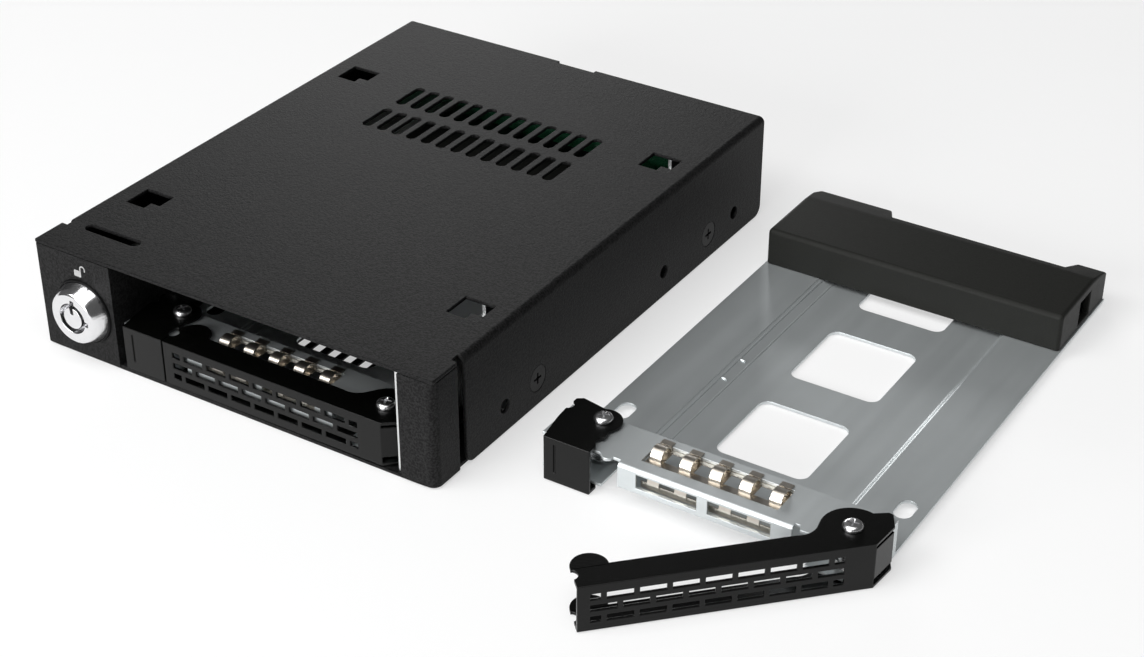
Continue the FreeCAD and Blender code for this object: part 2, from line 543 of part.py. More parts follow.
def make_pan(node):
    """Pan with a sunken channel, a boxed front with two windows and a band carrying the pivots."""
    pan = Piece(node)
    low, high = "pan_raise", "pan_raise + pan_gauge"
    pan.pad("front", "step_y", "pan_end",
            [("-pan_half", low), ("ramp_left", low), ("channel_left", "0"), ("channel_right", "0"),
             ("ramp_right", low), ("pan_half", low), ("pan_half", high), ("ramp_right - 0.3", high),
             ("channel_right - 0.3", "pan_gauge"), ("channel_left + 0.3", "pan_gauge"),
             ("ramp_left + 0.3", high), ("-pan_half", high)])
    ear_r = "lever_y - web_front"
    right_ear = [("ramp_right", "web_front"), ("lever_x", "web_front", ear_r),
                 ("lever_x + %s" % ear_r, "lever_y"), ("pan_half", "lever_y + 1.2")]
    pan.pad("top", low, high, right_ear + [("pan_half", "step_y + 0.1"), ("ramp_right", "step_y + 0.1")])
    pan.pad("top", low, high, [("-pan_half", "band_front"), ("ramp_left", "band_front"),
                               ("ramp_left", "step_y + 0.1"), ("-pan_half", "step_y + 0.1")])
    thick, web_back = "pan_gauge", "web_front + pan_gauge"
    floor, under = "web_foot + pan_gauge", "band_top - pan_gauge"
    pan.pad("side", "web_left", "web_right",
            [("web_front + 0.8", "web_foot"), ("step_y", "web_foot"), ("step_y", "0"),
             ("step_y + pan_gauge", "0"), ("step_y + pan_gauge", floor), (web_back, floor),
             (web_back, under), ("band_rear", under), ("band_rear", "band_top"),
             ("web_front + 0.9", "band_top", "0.9"), ("web_front", "band_top - 0.9"),
             ("web_front", "web_foot + 0.8", "0.8")])
    pan.pad("top", under, "band_top",
            [("-pan_half", "band_front"), ("-22.3", "band_front"), ("-20.9", "web_front + 0.2", "1.4"),
             ("-19.3", "band_front"), ("web_left + 0.3", "band_front"), ("web_left + 0.3", "band_rear"),
             ("-pan_half", "band_rear")])
    # the band is narrower at the right, where the lever's lug swings
    pan.pad("top", under, "band_top",
            [("web_right - 0.3", "band_front"), ("web_right + 1", "band_front"),
             ("web_right + 1.6", "web_front"), ("lever_x", "web_front", ear_r),
             ("lever_x + %s" % ear_r, "lever_y"), ("lever_x + %s" % ear_r, "band_rear - 2.6"),
             ("pan_half", "band_rear - 2.1"), ("pan_half", "band_rear"),
             ("web_right - 0.3", "band_rear")])
    pan.mirror(pan.pad("side", "pan_half - pan_gauge", "pan_half",
                       rectangle("band_rear - 2.1", low, "band_rear", "band_top")))
    # finger slot, windows, pivot holes
    pan.cut("top", under, "band_top", rectangle("finger_x - 1.8", "4.3", "15.2", "11.3"))
    pan.cut("front", "web_front", web_back,
            rectangle("-13.5", "window_low", "-0.2", "window_high"),
            rectangle("2.1", "window_low", "15.5", "window_high"))
    for x, y in (("lever_x", "lever_y"), ("latch_x", "latch_y")):
        pan.cut("top", under, "band_top", (x, y, "eye_r"))
        pan.cut("top", low, high, (x, y, "shoulder_r + running"))
    # weight-saving cut-outs, the rear one running under the cap, and the drive's screw slots
    for start, length in (("cut_front", "cut_length"), ("cut_middle", "cut_length"),
                          ("cut_rear", "cut_length - 6")):
        pan.cut("top", "0", thick, rounded("cut_left", start, "cut_right", "%s + %s" % (start, length),
                                           "cut_corner"))
    pan.cut("top", low, high, *[slot(x, "drive_hole_y", "drive_hole_r", "6", "y")
                                for x in ("drive_hole_x", "-drive_hole_x")])
    pan.cut("top", low, high, *[(x, "stud_y", "stud_r + running")
                                for x in ("drive_hole_x", "-drive_hole_x")])
    return pan


def make_posts(node):
    """The two turned posts that the lever and the latch swing on."""
    posts = Piece(node)
    posts.body.AllowCompound = True
    spots = [("lever_x", "lever_y"), ("latch_x", "latch_y")]
    low, high = "pan_raise + pan_gauge", "band_top - pan_gauge"
    posts.pad("top", low, high, *[(x, y, "post_outer_r") for x, y in spots])
    posts.pad("top", "0", low, *[(x, y, "shoulder_r") for x, y in spots])
    posts.cut("top", "%s - 3.2" % high, high, *[(x, y, "post_bore_r") for x, y in spots])
    return posts


def make_pivot_screws(node):
    """Two cross-head screws, down through the lever and the latch into their posts."""
    group = Piece(node)
    group.body.AllowCompound = True
    spots = [("lever_x", "lever_y"), ("latch_x", "latch_y")]
    seat, crown = "lever_height + 0.1", "lever_height + 0.1 + screw_head"
    group.pad("top", "band_top - pan_gauge - 3", seat, *[(x, y, "shank_r") for x, y in spots])
    group.pad("top", seat, crown, *[(x, y, "screw_head_r") for x, y in spots])
    for loops in cross_bars(spots, "cross_reach", "cross_half"):
        group.cut("top", "%s - cross_deep" % crown, crown, *loops)
    return group


def make_contact_strip(node):
    """Nickel-plated spring strip: five arched fingers above the band, four tabs in the windows."""
    strip = Piece(node)
    seat = "band_top - pan_gauge - 0.3"
    lid = "%s + strip_gauge" % seat
    left, right = "finger_x - 1.6", "finger_x + 4*finger_pitch + 1.6"
    strip.pad("top", seat, lid, rectangle(left, "2.5", right, "11.8"))
    inner = "(finger_r - strip_gauge)"
    base = "%s + 0.1" % seat
    arch = [("finger_y - finger_r", base), ("finger_y - %s" % inner, base, "-(%s)" % inner),
            ("finger_y + %s" % inner, base), ("finger_y + finger_r", base, "finger_r")]
    finger = strip.pad("side", "finger_x - finger_width/2", "finger_x + finger_width/2", arch)
    strip.repeat(finger, "X_Axis", "4*finger_pitch", 5)
    gap = strip.cut("top", seat, lid, rectangle("finger_x + finger_width/2 + 0.4", "6.9",
                                                "finger_x + finger_pitch - finger_width/2 - 0.4", "10.3"))
    strip.repeat(gap, "X_Axis", "3*finger_pitch", 4)
    # clips over the rear edge of the band's opening
    hood, over = "band_top + 0.05", "band_top + 0.05 + strip_gauge"
    clip = strip.pad("side", left, "%s + clip_width" % left,
                     [("10.95", seat), ("11.2", seat), ("11.2", hood), ("12.5", hood),
                      ("12.5", over), ("10.95", over)])
    strip.repeat(clip, "X_Axis", "4*finger_pitch", 5)
    for x in ("-10.4", "-4.4", "5.2", "11.2"):
        strip.pad("side", "%s - 1.3" % x, "%s + 1.3" % x,
                  [("2.5", seat), ("2.5", "7.0"), ("2.2", "6.2"), ("2.5", "5.0"), ("2.75", "5.0"),
                   ("2.45", "6.2"), ("2.75", "7.0"), ("2.75", seat)])
    return strip


def make_rear_cap(node):
    """Moulded cap over the pan's rear end, with two horns beside the drive's contacts.

    Two studs under its bosses are pressed through the pan.
    """
    cap = Piece(node)
    low, wall, right = "pan_raise + pan_gauge", "cap_wall", "(pan_half - cap_inset)"
    left = "-%s" % right
    cap.pad("side", left, right,
            [("cap_front", low), ("horn_end", low), ("horn_end", "horn_top - 1"),
             ("horn_end - 1", "horn_top"), ("slope_start + 0.6", "cap_top - 0.1"),
             ("slope_start - 0.6", "cap_top"), ("cap_front + 1.2", "cap_top", "1.2"),
             ("cap_front", "cap_top - 1.2")])
    cap.cut("top", low, "cap_top + 1",
            [("horn_left + 2.9", "cap_rear"), ("horn_right - 2", "cap_rear"),
             ("horn_right", "horn_end + 1"), ("horn_left", "horn_end + 1")],
            [(left, "horn_end - 4"), ("1.6 - pan_half", "horn_end + 1"),
             ("-pan_half - 1", "horn_end + 1"), ("-pan_half - 1", "horn_end - 4")])
    cap.cut("top", low, "cap_top - cap_wall",
            rectangle("%s + cap_wall" % left, "cap_front + cap_wall", "%s - cap_wall" % right,
                      "cap_rear - cap_wall - 1"))
    cap.cut("front", "cap_rear - cap_wall - 1", "cap_rear + 0.5",
            rectangle("plug_x - plug_width/2 - 0.6", "2.5", "plug_x + plug_width/2 + 0.6", "8.0"))
    cap.cut("side", left, right, rectangle("106", "2.6", "112", "8.2"))
    for x in ("drive_hole_x", "-drive_hole_x"):
        cap.pad("top", "pan_raise", "cap_top - %s + 0.1" % wall, (x, "stud_y", "stud_r"))
    cap.soften("0.9", lambda edge: upright(edge, z=size("cap_top"), axis="y"))
    return cap


def lever_outline(lug):
    """The lever's plan about its pivot, closed: grip edge, end lobe, pivot lobe and lug."""
    front, hook = "-lever_y", "lever_left + 3.6"
    wing = lug + [("5.2", "3.376", "lobe_r")]
    return ([("lever_left", front), ("2.7", front)] + wing
            + [("-5.2", "3.376"), ("-6.2", "1.9", "-4.2"), ("-10.6", "0.2"),
               ("%s + 3.6" % hook, "0.2", "3.6"), ("lever_left", "0.2"),
               ("lever_left", "-0.4", "-1.4"), ("lever_left", "-3.1")])


SHORT_LUG = [("5.7", "-3.1"), ("5.7", "2.4393")]
FULL_LUG = [("7.7", "-1.4"), ("7.9", "-0.7"), ("8.7", "2.1"), ("8.1", "2.9")]


def make_lever(node, lug):
    """Pull lever: a face with three rows of air slots between two plates with matching outlines."""
    lever = Piece(node)
    front, back = "-lever_y", "grip - lever_y"
    plan = lever_outline(lug)
    lever.pad("top", "0", "grip", plan)
    lever.pad("front", front, back, rectangle("lever_left", "grip/2", "2.7", "lever_height - grip/2"))
    lever.pad("top", "lever_height - grip", "lever_height", plan)
    end = lug[0]
    lever.pad("top", "lug_low", "lug_high", [("2.3", front), ("2.7", front), end, ("%s - 0.5" % end[0],
              "%s + 0.5" % end[1]), ("2.3", "%s + 0.3" % back)])
    lever.cut("top", "0", "grip", ("0", "0", "shoulder_r + running"))
    lever.cut("top", "lever_height - grip", "lever_height", ("0", "0", "eye_r"))
    left, pitch = "lever_left + vent_inset", "vent_slot + vent_bar"
    for row in range(3):
        low = "%s*vent_row + 1.85" % row
        high = "%s + vent_high" % low
        start = left if row == 1 else "%s + vent_short + vent_bar" % left
        count = 8 if row == 1 else 7
        vent = lever.cut("front", front, back, rectangle(start, low, "%s + vent_slot" % start, high))
        lever.repeat(vent, "X_Axis", "%d*(%s)" % (count - 1, pitch), count)
        if row != 1:
            last = "%s + 7*(%s)" % (start, pitch)
            lever.cut("front", front, back, rectangle(left, low, "%s + vent_short" % left, high),
                      rectangle(last, low, "%s + vent_short" % last, high))
    return lever


def make_latch(node):
    """Release latch beside the lever: a short U-section with a hook beak at each side."""
    latch = Piece(node)
    left, right = "latch_left - latch_x", "latch_right - latch_x"
    front, back = "-latch_y", "grip - latch_y"
    ring = "latch_round"
    plan = [(left, front), (right, front), (right, "-8.3"), ("%s - 0.5" % right, "-7.7", "-1.5"),
            (right, "-5.2"), ("3.3", "-3.8"), ("2.9", "-2.608", ring), ("-1.7", "3.51"),
            ("-7.2", "4.5"), ("-8.4", "3.7"), ("-8.4", "2.3", "-1.4"), ("-8.4", "-0.3"),
            ("-8.1", "-4.5")]
    latch.pad("top", "0", "grip", plan)
    latch.pad("front", front, back, rectangle(left, "grip/2", right, "lever_height - grip/2"))
    latch.pad("top", "lever_height - grip", "lever_height", plan)
    latch.cut("top", "0", "grip", ("0", "0", "shoulder_r + running"))
    latch.cut("top", "lever_height - grip", "lever_height", ("0", "0", "eye_r"))
    groove = "%s + 2.3" % left
    latch.cut("front", front, "%s + 0.35" % front, rectangle(groove, "2.2", "%s + 0.45" % groove, "8.8"))
    return latch


def make_spring(node):
    """Close-wound torsion spring round a post: four turns of wire drawn as one sleeve."""
    spring = Piece(node)
    inner = "post_outer_r + 0.15"
    start = "pan_raise + pan_gauge + 0.2"
    spring.pad("top", start, "%s + 4.5*spring_wire" % start, ("0", "0", "%s + spring_wire" % inner),
               ("0", "0", inner))
    return spring


def make_tray(name, x, y, z, lug, turn):
    """One whole tray with its lever turned about its pivot by the given angle."""
    for part in [make_pan(name + "_tray_pan"), make_posts(name + "_pivot_posts"),
                 make_pivot_screws(name + "_pivot_screws"),
                 make_contact_strip(name + "_contact_strip"), make_rear_cap(name + "_rear_cap")]:
        part.place(x, y, z)
    for x_pivot, y_pivot, pieces, angle in (
            ("lever_x", "lever_y", [make_lever(name + "_lever", lug),
                                    make_spring(name + "_lever_spring")], turn),
            ("latch_x", "latch_y", [make_latch(name + "_latch"),
                                    make_spring(name + "_latch_spring")], "0")):
        for piece in pieces:
            piece.place("%s + %s" % (x, x_pivot), "%s + %s" % (y, y_pivot), z, angle)


make_top_cover()
make_base_chassis()
make_rail("right_guide_rail", "bay_right - 0.2 - rail_gauge", "bay_right - 0.2", 1, "gauge + 0.1", True)
make_rail("left_guide_rail", "bay_left - gauge", "bay_left", -1, "wall_depth + 0.5", False)
make_lock()
make_board()
make_screws()
make_tray("lower", "tray_x", "-cage_depth/2", "tray_z", SHORT_LUG, "0")
make_tray("spare", "spare_x", "spare_y - cage_depth/2", "0", FULL_LUG, "lever_open")
doc.recompute()

for item in doc.Objects:
    if "Invalid" in item.State or "Error" in item.State:
        raise RuntimeError("%s is %s" % (item.Name, item.State))
os.makedirs("parts", exist_ok=True)
for item in [piece.body for piece in Piece.made]:
    if item.Shape.isNull() or not item.Shape.isValid():
        raise RuntimeError("bad shape: " + item.Label)
    item.Shape.exportStep("parts/%s.step" % item.Label)
    print("%-24s %10.2f mm3 %3d solids" % (item.Label, item.Shape.Volume, len(item.Shape.Solids)))
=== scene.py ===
# %% [markdown]
# # A two-tray drive cage, dressed for a studio picture
#
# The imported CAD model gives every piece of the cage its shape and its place. This lesson adds what
# CAD leaves out: a camera, soft light, finishes for each metal and plastic, eased edges that catch
# the light, and the small pieces that only the eye needs. Everything is in metres, in the frame of
# the model: X to the right, Y from front to rear, Z up.

# %% Load the frame
import json
import math

import bmesh
import bpy
from mathutils import Matrix, Vector


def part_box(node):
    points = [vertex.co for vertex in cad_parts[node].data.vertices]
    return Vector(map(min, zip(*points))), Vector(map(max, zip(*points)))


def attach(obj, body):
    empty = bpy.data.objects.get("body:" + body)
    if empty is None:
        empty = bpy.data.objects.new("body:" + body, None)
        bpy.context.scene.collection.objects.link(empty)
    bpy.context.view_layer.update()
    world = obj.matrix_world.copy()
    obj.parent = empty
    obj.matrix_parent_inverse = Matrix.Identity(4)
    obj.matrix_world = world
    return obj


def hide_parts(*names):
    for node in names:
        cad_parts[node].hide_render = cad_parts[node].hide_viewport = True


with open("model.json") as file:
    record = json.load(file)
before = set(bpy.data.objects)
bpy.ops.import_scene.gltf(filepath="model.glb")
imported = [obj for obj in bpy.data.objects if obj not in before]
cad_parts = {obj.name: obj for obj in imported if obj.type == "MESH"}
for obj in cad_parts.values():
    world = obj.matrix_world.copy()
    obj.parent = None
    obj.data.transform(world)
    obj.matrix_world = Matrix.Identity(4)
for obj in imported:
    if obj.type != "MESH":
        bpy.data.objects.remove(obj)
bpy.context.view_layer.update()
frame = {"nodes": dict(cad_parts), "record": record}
nodes, scene = frame["nodes"], bpy.context.scene
MM = 0.001

# %% [markdown]
# ## Camera
#
# A product picture like this is taken with a fairly long lens from above one corner. The camera is
# set by the angle round the object, the height angle, the distance and the point it looks at, which
# is easier to reason about than three rotations. The small shift moves the picture on the sensor
# without turning the camera.

# %% Camera
AZIMUTH, ELEVATION, ROLL = math.radians(31.41), math.radians(32.10), math.radians(0.58)
DISTANCE = 453.4 * MM
cage_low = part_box("top_cover")[0]
LOOK_AT = Vector((55.9 * MM, cage_low.y + 52.7 * MM, 10 * MM))

toward = Vector((math.sin(AZIMUTH) * math.cos(ELEVATION), -math.cos(AZIMUTH) * math.cos(ELEVATION),
                 math.sin(ELEVATION)))
camera = bpy.data.objects.new("camera", bpy.data.cameras.new("camera"))
scene.collection.objects.link(camera)
facing = (-toward).to_track_quat("-Z", "Y").to_matrix().to_4x4() @ Matrix.Rotation(ROLL, 4, "Z")
camera.matrix_world = Matrix.Translation(LOOK_AT + toward * DISTANCE) @ facing
camera.data.lens, camera.data.sensor_width = 68.6, 36.0
camera.data.shift_x, camera.data.shift_y = -0.0265, 0.0046
camera.data.clip_start = 0.01
scene.camera = camera
print("camera %.0f mm from the point it looks at" % (DISTANCE / MM))

# %% [markdown]
# ## Studio
#
# Black metal shows mostly what it reflects, so the lamps matter as much as the paint. One wide lamp
# hangs overhead and a little in front, where no flat top mirrors it into the camera. A key lamp at the
# left lights the rounded front edges, a low one lifts the front faces above the sides, and a thin one
# far behind grows a soft sheen toward the rear of the cover. The floor is a plain pale sheet.

# %% Studio floor, world and lamps
scene.view_settings.view_transform = "Standard"


def make_lamp(name, place, aim, width, height, power):
    """A rectangular soft lamp at a place in metres, pointing at another."""
    light = bpy.data.lights.new(name, "AREA")
    light.shape, light.size, light.size_y, light.energy = "RECTANGLE", width, height, power
    lamp = bpy.data.objects.new(name, light)
    scene.collection.objects.link(lamp)
    facing = (Vector(aim) - Vector(place)).to_track_quat("-Z", "Y").to_matrix().to_4x4()
    lamp.matrix_world = Matrix.Translation(place) @ facing
    print("lamp %-10s %4.1f W" % (name, power))


make_lamp("overhead", (0.05, -0.5, 1.25), (0.05, 0, 0), 1.3, 1.2, 12.5)
make_lamp("key_left", (-0.55, -0.65, 0.87), (0.03, 0, 0), 0.5, 0.4, 3.6)
make_lamp("front_low", (-0.1, -1.0, 0.28), (0.05, 0, 0), 0.6, 0.4, 8.5)
make_lamp("rear_left", (-0.85, 1.15, 0.38), (-0.02, 0.03, 0), 0.6, 0.2, 3.8)

FLOOR_HALF, FLOOR_DROP = 4.0, 0.2 * MM
floor_mesh = bpy.data.meshes.new("floor")
grid = bmesh.new()
bmesh.ops.create_grid(grid, x_segments=1, y_segments=1, size=FLOOR_HALF)
grid.to_mesh(floor_mesh)
grid.free()
floor = bpy.data.objects.new("floor", floor_mesh)
scene.collection.objects.link(floor)
floor.location.z = -FLOOR_DROP

# %% [markdown]
# ## Writing shaders as arithmetic
#
# A node tree is a formula drawn as a graph. Wrapping a socket in a small class lets the formula be
# written as one: adding two signals makes the Add node, and so on. Every other node comes from one
# method, which sets the node's options first and then its inputs.

# %% Socket arithmetic and finishes


class Signal:
    """A socket that adds and multiplies by making Math nodes."""

    def __init__(self, finish, socket):
        self.finish, self.socket = finish, socket

    def combine(self, operation, first, second):
        """The Math node of one operation on two signals or numbers."""
        return self.finish.node("Math", {"operation": operation}, {0: first, 1: second})

    def __add__(self, other):
        return self.combine("ADD", self, other)

    def __mul__(self, other):
        return self.combine("MULTIPLY", self, other)

    __radd__, __rmul__ = __add__, __mul__

    def over(self, edge, softness):
        """0 below the edge, 1 above it, with a soft step between."""
        return self.finish.node("MapRange", {"interpolation_type": "SMOOTHSTEP"},
                                {"Value": self, "From Min": edge - softness,
                                 "From Max": edge + softness})


class Finish:
    """One material and the nodes that make it."""

    def __init__(self, name):
        self.material = bpy.data.materials.new(name)
        self.material.use_nodes = True
        self.tree = self.material.node_tree
        self.shader = self.tree.nodes["Principled BSDF"]

    def fill(self, socket, value):
        """Link a signal to a socket, or set a number or a colour on it."""
        if isinstance(value, Signal):
            self.tree.links.new(value.socket, socket)
        elif socket.type == "RGBA" and len(value) == 3:
            socket.default_value = (*value, 1.0)
        else:
            socket.default_value = value

    def node(self, kind, settings=None, inputs=None, output=0):
        """Any shader node, its options set first, as the signal of one of its outputs."""
        made = self.tree.nodes.new("ShaderNode" + kind)
        for key, value in (settings or {}).items():
            setattr(made, key, value)
        for key, value in (inputs or {}).items():
            self.fill(made.inputs[key], value)
        return Signal(self, made.outputs[output])

    def place(self, stretch=(1, 1, 1)):
        """Object coordinates, stretched along each axis."""
        here = self.node("TexCoord", output="Object")
        return self.node("Mapping", None, {"Vector": here, "Scale": stretch})

    def noise(self, scale, detail=2.0, roughness=0.5, stretch=(1, 1, 1)):
        """Cloudy noise between 0 and 1 with that many waves to the metre."""
        return self.node("TexNoise", None, {"Vector": self.place(stretch), "Scale": scale,
                                            "Detail": detail, "Roughness": roughness})

    def mix(self, factor, first, second):
        """A colour between two colours."""
        return self.node("Mix", {"data_type": "RGBA"}, {0: factor, 6: first, 7: second}, output=2)

    def bump(self, height, distance, strength=1.0):
        """A normal tilted by a height signal whose full step is a distance in metres."""
        return self.node("Bump", None,
                         {"Height": height, "Distance": distance, "Strength": strength})

    def surface(self, **values):
        """Set the shader's sockets by name, with _ for a space."""
        for key, value in values.items():
            self.fill(self.shader.inputs[key.replace("_", " ")], value)
        return self.material


# %% [markdown]
# The floor does the work of a white backdrop, while the lamps stay at a level where colours look as
# written. Half of what the camera sees of it is plain white and the other half lit paper, so the
# shadows stay but are light. Metal and glass are shown the same floor. The world is a dim plain grey,
# since every flat top mirrors it straight into the camera.

# %% Floor and world finishes
PLAIN_WHITE, WORLD_LIGHT = 0.5, 0.09
paper = Finish("studio_paper")
floor.data.materials.append(paper.surface(Base_Color=(0.95, 0.95, 0.95), Roughness=0.9))
seen = (paper.node("LightPath", output="Is Camera Ray")
        + paper.node("LightPath", output="Is Glossy Ray")
        + paper.node("LightPath", output="Is Transmission Ray"))
lit = Signal(paper, paper.shader.outputs[0])
glow = paper.node("Emission", None, {"Color": (1, 1, 1), "Strength": 1.0})
blend = paper.node("MixShader", None, {0: seen * PLAIN_WHITE, 1: lit, 2: glow})
paper.fill(paper.tree.nodes["Material Output"].inputs["Surface"], blend)

world = bpy.data.worlds.new("studio")
scene.world = world
world.use_nodes = True
sky = world.node_tree
sky.nodes["Background"].inputs["Color"].default_value = (1, 1, 1, 1)
sky.nodes["Background"].inputs["Strength"].default_value = WORLD_LIGHT
print("floor %.0f%% plain white, world light %.2f" % (100 * PLAIN_WHITE, WORLD_LIGHT))

# %% [markdown]
# ## Black powder coat
#
# The cage is folded steel under a baked powder coat. Up close the powder has melted into fine
# pimples a few tenths of a millimetre across, which break every reflection into a soft grain. Two
# noises, one fine and one coarser, go into a bump, and a little of the fine one also varies the grey.


# %% Painted finishes
def powder_coat():
    finish = Finish("black_powder_coat")
    fine, coarse = finish.noise(2300, 3.0, 0.6), finish.noise(900, 2.0)
    shade = finish.mix(fine.over(0.5, 0.14), (0.003, 0.003, 0.0031), (0.016, 0.016, 0.0162))
    grain = fine * 0.7 + coarse * 0.3
    return finish.surface(Base_Color=shade, Roughness=0.44 + fine * 0.16, Specular_IOR_Level=0.11,
                          Normal=finish.bump(grain, 0.00012, 1.0))


def satin_paint():
    finish = Finish("satin_black_paint")
    fine, coarse = finish.noise(3600, 3.0, 0.6), finish.noise(500, 2.0)
    shade = finish.mix(coarse, (0.0008, 0.0009, 0.0008), (0.0016, 0.0017, 0.0015))
    return finish.surface(Base_Color=shade, Roughness=0.2 + fine * 0.1, Specular_IOR_Level=0.26,
                          Normal=finish.bump(fine, 0.00004, 0.7))


def black_oxide():
    finish = Finish("black_oxide")
    fine = finish.noise(2500, 3.0)
    shade = finish.mix(fine, (0.002, 0.002, 0.0021), (0.006, 0.006, 0.0062))
    return finish.surface(Base_Color=shade, Roughness=0.3 + fine * 0.15, Specular_IOR_Level=0.12,
                          Normal=finish.bump(fine, 0.00002))


# %% [markdown]
# ## Bare metals
#
# Sheet steel keeps the streaks of the mill's rolls, so its noise is stretched along one axis. Zinc
# plating is brighter with faint clouds, and spring nickel is warmer and more even. Chrome is the
# smoothest; only tiny scratches keep it from looking like a computer's mirror.


# %% Metal finishes
def rolled_steel():
    finish = Finish("bare_steel")
    streak = finish.noise(260, 4.0, 0.55, (1, 0.06, 1))
    cloud, fine = finish.noise(60, 3.0), finish.noise(5000, 2.0)
    shade = finish.mix(cloud * 0.6 + streak * 0.4, (0.56, 0.595, 0.602), (0.71, 0.748, 0.757))
    return finish.surface(Base_Color=shade, Metallic=0.75, Roughness=0.36 + streak * 0.14,
                          Normal=finish.bump(streak * 0.6 + fine * 0.4, 0.00002, 0.6))


def zinc_plate():
    finish = Finish("zinc_plate")
    cloud, fine = finish.noise(300, 4.0, 0.6), finish.noise(4000, 2.0)
    shade = finish.mix(cloud, (0.62, 0.63, 0.63), (0.82, 0.83, 0.82))
    return finish.surface(Base_Color=shade, Metallic=0.9, Roughness=0.26 + cloud * 0.2,
                          Normal=finish.bump(fine, 0.00001, 0.5))


def plated_metal(name, dark, light, roughness):
    """Bright plating with faint clouds and hair scratches."""
    finish = Finish(name)
    cloud = finish.noise(700, 4.0, 0.6)
    hair = finish.noise(900, 2.0, 0.5, (1, 12, 1))
    return finish.surface(Base_Color=finish.mix(cloud, dark, light), Metallic=1.0,
                          Roughness=roughness + cloud * 0.08, Normal=finish.bump(hair, 0.000006, 0.4))


# %% [markdown]
# ## Plastics and the circuit board
#
# Moulded covers carry the spark-eroded texture of their mould, finer and a bit smoother than the
# powder coat. The board is fibreglass under green solder mask, where the buried tracks show as slightly
# lighter lines: a brick pattern read along the board's own plane stands in for them.


# %% Plastic finishes
def moulded_plastic(name, dark, light, roughness, grain, gloss=0.14):
    finish = Finish(name)
    fine, coarse = finish.noise(grain, 2.0, 0.6), finish.noise(grain / 6, 2.0)
    shade = finish.mix(fine, dark, light)
    return finish.surface(Base_Color=shade, Roughness=roughness + coarse * 0.1,
                          Specular_IOR_Level=gloss, Normal=finish.bump(fine, 0.00004, 0.6))


def circuit_board():
    finish = Finish("circuit_board")
    here = finish.node("TexCoord", output="Object")
    turned = finish.node("Mapping", None, {"Vector": here, "Rotation": (math.pi / 2, 0, 0),
                                           "Scale": (420, 420, 420)})
    tracks = finish.node("TexBrick", {"offset": 0.5},
                         {"Vector": turned, "Mortar Size": 0.06, "Brick Width": 3.1,
                          "Row Height": 0.7, "Color1": (0, 0, 0), "Color2": (0, 0, 0),
                          "Mortar": (1, 1, 1)})
    fine = finish.noise(3000, 2.0)
    shade = finish.mix(tracks, (0.008, 0.085, 0.035), (0.02, 0.16, 0.065))
    return finish.surface(Base_Color=shade, Roughness=0.22 + fine * 0.12,
                          Normal=finish.bump(tracks + fine * 0.2, 0.00003, 0.5))


def sign_ink():
    finish = Finish("sign_ink")
    fine = finish.noise(3000, 2.0)
    shade = finish.mix(fine, (0.3, 0.3, 0.3), (0.42, 0.42, 0.42))
    return finish.surface(Base_Color=shade, Roughness=0.55, Normal=finish.bump(fine, 0.00001))


# %% [markdown]
# ## One finish for each slot
#
# Every piece of the model names a material slot, so one table from slot to finish dresses them all.
# Two more finishes belong to pieces that only this scene adds: the sign's ink and the contacts' gold.

# %% The table of finishes
FINISHES = {
    "black_powder_coat": powder_coat(),
    "satin_black_paint": satin_paint(),
    "black_oxide": black_oxide(),
    "bare_steel": rolled_steel(),
    "zinc_plate": zinc_plate(),
    "nickel_strip": plated_metal("nickel_strip", (0.54, 0.50, 0.44), (0.74, 0.69, 0.62), 0.26),
    "bright_screws": plated_metal("bright_screws", (0.64, 0.64, 0.65), (0.82, 0.82, 0.83), 0.22),
    "lock_chrome": plated_metal("lock_chrome", (0.76, 0.76, 0.77), (0.86, 0.86, 0.87), 0.13),
    "circuit_board": circuit_board(),
    "connector_plastic": moulded_plastic("connector_plastic", (0.016, 0.016, 0.017),
                                         (0.028, 0.028, 0.03), 0.42, 3000),
    "black_plastic": moulded_plastic("black_plastic", (0.011, 0.0113, 0.0102),
                                     (0.021, 0.0215, 0.0195), 0.4, 2800, 0.09),
}
INK = sign_ink()
GOLD = plated_metal("contact_gold", (0.72, 0.50, 0.20), (0.90, 0.68, 0.32), 0.16)
print(len(FINISHES), "finishes for the record's slots")

# %% [markdown]
# ## Dressing the CAD pieces
#
# Sheet metal is never sharp: shearing and plating ease every edge, and the thin bright line there is
# what tells the eye that a thing is real. The CAD meshes are loose triangles and stay untouched. Each
# one is copied, its doubles are merged, its flat faces are joined again and its edges are bevelled by
# a fraction of the sheet. An edge stays sharp where its neighbours leave no room for the bevel.
# Weighted normals then keep the wide faces flat beside their round edges.

# %% Copy, join and ease
SAME_SPOT = 0.002 * MM        # points closer than this are one
FLAT = math.radians(0.3)      # faces that turn less than this are joined
STEEP = math.radians(35)      # edges that turn more than this are eased
SMOOTH = math.radians(50)     # edges that turn less than this are shaded smooth
ROOM = 1.7                    # clear length that a bevel needs beside its edge, in widths
RUNS_ON = 0.86                # cosine above which a neighbour runs on in the edge's own line
record = frame["record"]
slot_of = {part["node"]: part["material_slot"] for part in record["subparts"]}
body_of = {node: body for body, members in record["behaviour"]["bodies"].items()
           for node in members}


def copy_of(node):
    """A bmesh of a CAD piece with its doubles merged and its flat faces joined."""
    mesh = bmesh.new()
    mesh.from_mesh(nodes[node].data)
    bmesh.ops.remove_doubles(mesh, verts=mesh.verts, dist=SAME_SPOT)
    bmesh.ops.dissolve_limit(mesh, angle_limit=FLAT, use_dissolve_boundaries=False,
                             verts=mesh.verts, edges=mesh.edges)
    return mesh


def once(items):
    """The items as a list in their own order, without repeats."""
    return list(dict.fromkeys(items))


